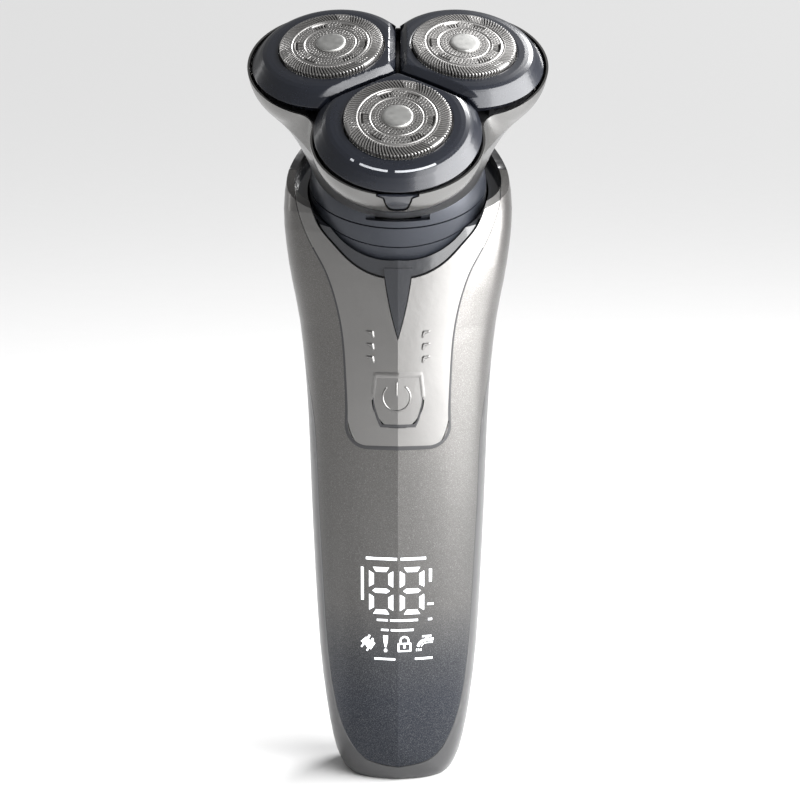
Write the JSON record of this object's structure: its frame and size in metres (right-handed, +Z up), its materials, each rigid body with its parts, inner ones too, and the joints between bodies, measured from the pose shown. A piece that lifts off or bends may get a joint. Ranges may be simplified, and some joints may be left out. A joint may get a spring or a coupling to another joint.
{
  "type": "rotary electric shaver",
  "caption": "Cordless rotary shaver: slim upright grip with a gradient front, ribbed ball neck and a tilted trilobed head of round slotted cutters.",
  "frame": {"origin": "centre of the flat base the grip stands on", "axes": "+Z up along the grip, -Y towards the front with the button, +X to the right seen from the front"},
  "size_m": [0.064, 0.0666, 0.1726],
  "materials": {
    "housing": "satin metallic grey paint",
    "front_lacquer": "gloss lacquer fading from warm silver above to dark blue-grey below",
    "cover_silver": "gloss metallic silver paint",
    "button": "gloss metallic silver paint",
    "collar": "gloss black",
    "boot": "satin dark blue-grey",
    "frame_silver": "bright satin chrome plating",
    "chamber": "metallic grey paint",
    "lobe": "gloss black with a blue tint",
    "steel": "bright cutting steel",
    "cap": "satin steel",
    "pin_steel": "plain steel",
    "gear": "natural white plastic",
    "inner": "matte dark grey",
    "board": "green circuit board",
    "cell": "blue sleeved cell",
    "motor": "zinc-plated can",
    "contact": "plated contacts",
    "latch": "gloss black"
  },
  "bodies": {
    "grip": {"rear_housing": "housing", "front_panel": "front_lacquer", "upper_cover": "cover_silver", "neck_collar": "collar", "neck_boot": "boot", "pivot_pins": "pin_steel", "chassis": "inner", "battery_cell": "cell", "display_board": "board", "main_board": "board", "power_switch": "inner", "base_plate": "inner", "base_screws": "pin_steel", "charging_socket": "inner", "charging_pins": "contact", "trimmer_pin": "pin_steel"},
    "button": {"power_button": "button"},
    "trimmer": {"trimmer_frame": "collar", "trimmer_comb": "steel"},
    "trimmer_cutter": {"trimmer_blade": "steel"},
    "head": {"hair_chamber": "chamber", "gear_plate": "inner", "neck_carrier": "inner", "motor": "motor", "hinge_pin": "pin_steel"},
    "pinion": {"drive_pinion": "gear"},
    "cutter_unit": {"head_frame": "frame_silver", "retaining_plate": "inner"},
    "latch": {"release_latch": "latch"},
    "lock": {"retaining_lock": "inner"},
    "gear_1": {"drive_gear_1": "gear"},
    "lobe_1": {"lobe_1": "lobe"},
    "guard_1": {"guard_1": "steel", "guard_cap_1": "cap"},
    "blade_1": {"blade_1": "steel"},
    "gear_2": {"drive_gear_2": "gear"},
    "lobe_2": {"lobe_2": "lobe"},
    "guard_2": {"guard_2": "steel", "guard_cap_2": "cap"},
    "blade_2": {"blade_2": "steel"},
    "gear_3": {"drive_gear_3": "gear"},
    "lobe_3": {"lobe_3": "lobe"},
    "guard_3": {"guard_3": "steel", "guard_cap_3": "cap"},
    "blade_3": {"blade_3": "steel"}
  },
  "joints": [
    {"name": "head_pitch", "type": "hinge", "parent": "grip", "child": "head", "pos_m": [0, 0, 0.1344], "axis": [1, 0, 0], "range_deg": [-6, 6], "stiffness_Nm_per_rad": 0.9},
    {"name": "head_open", "type": "hinge", "parent": "head", "child": "cutter_unit", "pos_m": [0, 0.00754, 0.16513], "axis": [-1, 0, 0], "range_deg": [0, 95]},
    {"name": "power_press", "type": "hinge", "parent": "grip", "child": "button", "pos_m": [0, -0.0149, 0.0955], "axis": [1, 0, 0], "range_deg": [0, 2], "stiffness_Nm_per_rad": 0.3},
    {"name": "trimmer_open", "type": "hinge", "parent": "grip", "child": "trimmer", "pos_m": [0, 0.0159, 0.0865], "axis": [-1, 0, 0], "range_deg": [0, 80]},
    {"name": "trimmer_run", "type": "slide", "parent": "trimmer", "child": "trimmer_cutter", "axis": [1, 0, 0], "range_m": [-0.0007, 0.0007]},
    {"name": "latch_press", "type": "slide", "parent": "cutter_unit", "child": "latch", "axis": [0, 0.8192, 0.5736], "range_m": [0, 0.0007], "stiffness_N_per_m": 500},
    {"name": "lock_turn", "type": "hinge", "parent": "cutter_unit", "child": "lock", "pos_m": [0, -0.01262, 0.15242], "axis": [0, -0.5736, 0.8192], "range_deg": [0, 90]},
    {"name": "pinion_spin", "type": "hinge", "parent": "head", "child": "pinion", "pos_m": [0, -0.0086, 0.14669], "axis": [0, -0.5736, 0.8192], "continuous": true},
    {"name": "gear_1_spin", "type": "hinge", "parent": "head", "child": "gear_1", "pos_m": [0, -0.02151, 0.13765], "axis": [0, -0.5736, 0.8192], "continuous": true},
    {"name": "lobe_1_flex", "type": "hinge", "parent": "cutter_unit", "child": "lobe_1", "pos_m": [0, -0.02774, 0.14675], "axis": [-1, 0, 0], "range_deg": [0, 4], "stiffness_Nm_per_rad": 0.15},
    {"name": "guard_1_float", "type": "slide", "parent": "lobe_1", "child": "guard_1", "axis": [0, 0.6428, -0.766], "range_m": [0, 0.0008], "stiffness_N_per_m": 400, "springref_m": -0.001},
    {"name": "blade_1_spin", "type": "hinge", "parent": "guard_1", "child": "blade_1", "pos_m": [0, -0.03224, 0.15211], "axis": [0, -0.6428, 0.766], "continuous": true},
    {"name": "gear_2_spin", "type": "hinge", "parent": "head", "child": "gear_2", "pos_m": [0.01365, -0.00215, 0.15121], "axis": [0, -0.5736, 0.8192], "continuous": true},
    {"name": "lobe_2_flex", "type": "hinge", "parent": "cutter_unit", "child": "lobe_2", "pos_m": [0.01354, -0.00852, 0.1602], "axis": [0.5, -0.7094, -0.4967], "range_deg": [0, 4], "stiffness_Nm_per_rad": 0.15},
    {"name": "guard_2_float", "type": "slide", "parent": "lobe_2", "child": "guard_2", "axis": [-0.0755, 0.5357, -0.841], "range_m": [0, 0.0008], "stiffness_N_per_m": 400, "springref_m": -0.001},
    {"name": "blade_2_spin", "type": "hinge", "parent": "guard_2", "child": "blade_2", "pos_m": [0.01407, -0.01227, 0.16609], "axis": [0.0755, -0.5357, 0.841], "continuous": true},
    {"name": "gear_3_spin", "type": "hinge", "parent": "head", "child": "gear_3", "pos_m": [-0.01365, -0.00215, 0.15121], "axis": [0, -0.5736, 0.8192], "continuous": true},
    {"name": "lobe_3_flex", "type": "hinge", "parent": "cutter_unit", "child": "lobe_3", "pos_m": [-0.01354, -0.00852, 0.1602], "axis": [0.5, 0.7094, 0.4967], "range_deg": [0, 4], "stiffness_Nm_per_rad": 0.15},
    {"name": "guard_3_float", "type": "slide", "parent": "lobe_3", "child": "guard_3", "axis": [0.0755, 0.5357, -0.841], "range_m": [0, 0.0008], "stiffness_N_per_m": 400, "springref_m": -0.001},
    {"name": "blade_3_spin", "type": "hinge", "parent": "guard_3", "child": "blade_3", "pos_m": [-0.01407, -0.01227, 0.16609], "axis": [-0.0755, -0.5357, 0.841], "continuous": true}
  ],
  "couplings": [
    {"joint": "gear_1_spin", "follows": "pinion_spin", "ratio": -1.5},
    {"joint": "blade_1_spin", "follows": "pinion_spin", "ratio": -1.5},
    {"joint": "gear_2_spin", "follows": "pinion_spin", "ratio": -1.5},
    {"joint": "blade_2_spin", "follows": "pinion_spin", "ratio": -1.5},
    {"joint": "gear_3_spin", "follows": "pinion_spin", "ratio": -1.5},
    {"joint": "blade_3_spin", "follows": "pinion_spin", "ratio": -1.5}
  ]
}
